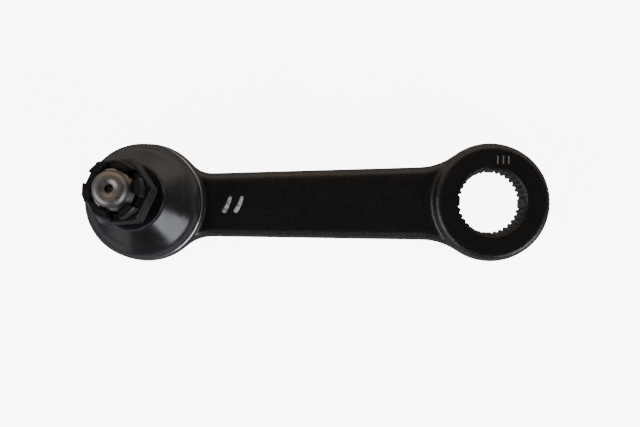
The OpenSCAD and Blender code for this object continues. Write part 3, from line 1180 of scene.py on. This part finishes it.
@dataclass
class CastleNut:
    """The castle nut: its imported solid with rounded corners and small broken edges."""

    stud: StudFrame
    flat_angle: float = 0.5
    corner_radius: float = 13.0
    corner_length: float = 6.0
    corner_round: float = 1.0
    corner_steps: int = 4
    edge_break: float = 0.28
    edge_steps: int = 2
    # Phosphate on steel: a dark grey-black crystal coat with a soft, oily shine
    phosphate: Steel = Steel(
        "black_phosphate",
        ("#111112", "#201f20"),
        Skin(0.26, 0.4, 0.01),
        metallic=0.5,
        patch=Clouds(2.0, 5.0, 0.6),
    )

    def is_corner(self, edge: bmesh.types.BMEdge) -> bool:
        """Tell whether an edge, in the stud's own frame, is one of the hexagon's six upright corners.

        Args:
            edge: the edge to test.

        Returns:
            True for a corner.
        """
        start, end = (point.co / MM for point in edge.verts)
        upright = abs(end.z - start.z) > self.corner_length
        return upright and min(start.xy.length, end.xy.length) > self.corner_radius

    def build(self) -> None:
        """Round the nut's corners in the stud's own frame, break its edges and dress it."""
        shape = merged_copy(Part.CASTLE_NUT)
        flat = math.radians(self.flat_angle)
        bmesh.ops.dissolve_limit(shape, angle_limit=flat, verts=list(shape.verts), edges=list(shape.edges))
        lean = self.stud.matrix()
        bmesh.ops.transform(shape, matrix=lean.inverted(), verts=shape.verts)
        corners = [edge for edge in shape.edges if self.is_corner(edge)]
        LOG.info("slotted_nut: %d corners rounded", len(corners))
        bmesh.ops.bevel(
            shape,
            geom=corners,
            offset=self.corner_round * MM,
            segments=self.corner_steps,
            profile=0.5,
            affect="EDGES",
            material=-1,
        )
        bmesh.ops.transform(shape, matrix=lean, verts=shape.verts)
        piece = place_mesh("slotted_nut", shape, FORGED_ANGLE)
        bevel = piece.modifiers.new("broken_edges", "BEVEL")
        bevel.width = self.edge_break * MM
        bevel.segments = self.edge_steps
        bevel.limit_method = "ANGLE"
        bevel.angle_limit = math.radians(FORGED_ANGLE)
        bevel.use_clamp_overlap = True
        apply_modifiers(piece)
        smooth_by_angle(piece, FORGED_ANGLE)
        dress(piece, self.phosphate.material())
        hand_over(piece, Body.STUD, Slot.PHOSPHATE, Part.CASTLE_NUT)


@dataclass
class JointInside:
    """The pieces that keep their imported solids: the ring, the bearings, the spring and the cover."""

    # Drawn wire: light grey, with a bright clean shine
    ring: Steel = Steel("drawn_spring_steel", ("#98989a", "#b0b0b2"), Skin(0.14, 0.28, 0.01))
    # Pressed spring strip: mid grey, with an oily shine
    spring: Steel = Steel("pressed_spring_steel", ("#4a4a49", "#6d6c6a"), Skin(0.29, 0.43, 0.01))
    # Pressed and phosphated sheet: dark grey and rather dull
    cover: Steel = Steel(
        "pressed_cover_steel", ("#19191b", "#2c2c2e"), Skin(0.39, 0.53, 0.01), metallic=0.6
    )
    bearing: Resin = Resin()

    def build(self) -> None:
        """Dress each of them."""
        resin = self.bearing.material()
        finishes = {
            Part.BOOT_RING: self.ring.material(),
            Part.PRELOAD_SPRING: self.spring.material(),
            Part.COVER_PLATE: self.cover.material(),
            Part.UPPER_BEARING: resin,
            Part.LOWER_BEARING: resin,
        }
        for part, material in finishes.items():
            dress(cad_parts[part.value], material)
            LOG.info("%s: packed solid kept", part.value)


@dataclass(frozen=True)
class Softbox:
    """One rectangular studio light."""

    name: str
    place: Place
    size: Pair
    watts: float
    colour: str

    def hang(self, aim: Place) -> None:
        """Hang the light and turn it to a point.

        Args:
            aim: the point that it shines on.
        """
        data = bpy.data.lights.new(self.name, "AREA")
        data.shape = "RECTANGLE"
        data.size = self.size[0] * MM
        data.size_y = self.size[1] * MM
        data.energy = self.watts
        data.color = linear_colour(self.colour)[:3]
        light = bpy.data.objects.new(self.name, data)
        light.location = Vector(self.place) * MM
        light.rotation_euler = (Vector(aim) - Vector(self.place)).to_track_quat("-Z", "Y").to_euler()
        bpy.context.scene.collection.objects.link(light)


@dataclass
class Studio:
    """The floor, the lights and the camera."""

    floor_size: float = 6000.0
    floor_drop: float = 0.05
    camera_place: Place = (-69.6, -4.6, 820.0)
    camera_clip: float = 10.0
    lens: float = 110.7
    sensor: float = 36.0
    aim: Place = (-70.0, 0.0, 10.0)
    softboxes: tuple[Softbox, ...] = (
        # Warm band along the far edges and over the far side of the boot
        Softbox("back_softbox", (-70, 1150, 700), (3000, 1100), 9.0, "#ffe6d0"),
        # Bright patch on the near right side of the boot
        Softbox("window_softbox", (475, -554, 390), (540, 420), 4.4, "#f2f6ff"),
        # Faint line along the near edges
        Softbox("front_softbox", (50, -960, 770), (1700, 430), 1.2, "#f4f6ff"),
        # Lines on the fillets that face the ball joint
        Softbox("left_softbox", (-1000, -450, 640), (900, 450), 8.0, "#f4f6ff"),
        # Grey sheen on the near left side of the boot
        Softbox("low_left_softbox", (-1032, -673, 260), (1500, 420), 1.7, "#fafaff"),
        # Soft light on the stud's end
        Softbox("tip_softbox", (-502, 192, 1128), (200, 200), 0.3, "#fff4e8"),
    )
    # Light of the surround over the height of a direction: dim overhead, dim again straight below
    overhead: Ramp = Ramp(0.1, 0.8, 0.6, 0.07)
    underneath: Ramp = Ramp(-0.7, -0.3, 0.2, 1.0)
    # What the front side has of it: more from the floor, less from above
    front: Ramp = Ramp(-0.35, -0.1, 1.4, 0.2)
    # Change from the front side to the back
    depth: Ramp = Ramp(-0.5, 0.5)
    front_tone: str = "#e8eefa"
    back_tone: str = "#fff0e4"

    def floor(self) -> None:
        """Lay the pale floor under the part."""
        shape = bmesh.new()
        bmesh.ops.create_grid(shape, x_segments=1, y_segments=1, size=self.floor_size / 2 * MM)
        bmesh.ops.translate(shape, verts=shape.verts, vec=(0, 0, -self.floor_drop * MM))
        piece = place_mesh("studio_floor", shape)
        dress(piece, PaleFloor().material())
        piece.visible_glossy = False

    def surround(self) -> None:
        """Set the surround: dim overhead, brighter and warm behind the part, darker and cool before it."""
        world = bpy.data.worlds.new("studio_surround")
        world.use_nodes = True
        tree = world.node_tree
        tree.nodes.clear()
        way = add_node(tree, "ShaderNodeTexCoord").outputs["Generated"]
        parts = add_node(tree, "ShaderNodeSeparateXYZ", {"Vector": way})
        height, depth = parts.outputs["Z"], parts.outputs["Y"]
        heights = (self.overhead, self.underneath, self.front)
        ramps = [ramp.follow(height) for ramp in heights] + [self.depth.follow(depth)]
        overhead, underneath, front, side = (
            add_node(tree, "ShaderNodeMapRange", ramp).outputs["Result"] for ramp in ramps
        )
        share = add_node(tree, "ShaderNodeMix", {"Factor": side, "A": front, "B": 1.0}, data_type="FLOAT")
        level = add_node(tree, "ShaderNodeMath", {0: overhead, 1: underneath}, operation="MULTIPLY")
        factors = {0: level.outputs["Value"], 1: share.outputs["Result"]}
        strength = add_node(tree, "ShaderNodeMath", factors, operation="MULTIPLY")
        cool, warm = linear_colour(self.front_tone), linear_colour(self.back_tone)
        tone = add_node(tree, "ShaderNodeMix", {"Factor": side, "A": cool, "B": warm}, data_type="RGBA")
        glow = {"Color": tone.outputs["Result"], "Strength": strength.outputs["Value"]}
        light = add_node(tree, "ShaderNodeBackground", glow)
        add_node(tree, "ShaderNodeOutputWorld", {"Surface": light.outputs["Background"]})
        bpy.context.scene.world = world

    def camera(self) -> None:
        """Set the camera straight above the part."""
        data = bpy.data.cameras.new("studio_camera")
        data.sensor_fit = "HORIZONTAL"
        data.sensor_width = self.sensor
        data.lens = self.lens
        data.clip_start = self.camera_clip * MM
        camera = bpy.data.objects.new("studio_camera", data)
        camera.location = Vector(self.camera_place) * MM
        bpy.context.scene.collection.objects.link(camera)
        bpy.context.scene.camera = camera

    def build(self) -> None:
        """Build the studio."""
        self.floor()
        for softbox in self.softboxes:
            softbox.hang(self.aim)
        self.surround()
        self.camera()


def main() -> None:
    """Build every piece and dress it."""
    logging.basicConfig(level=logging.INFO, format="%(message)s")
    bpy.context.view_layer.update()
    stud = StudFrame()
    Studio().build()
    ForgedArm().build()
    PaintMark().build()
    DustBoot(stud).build()
    BallStud(stud).build()
    CastleNut(stud).build()
    JointInside().build()


if __name__ == "__main__":
    main()
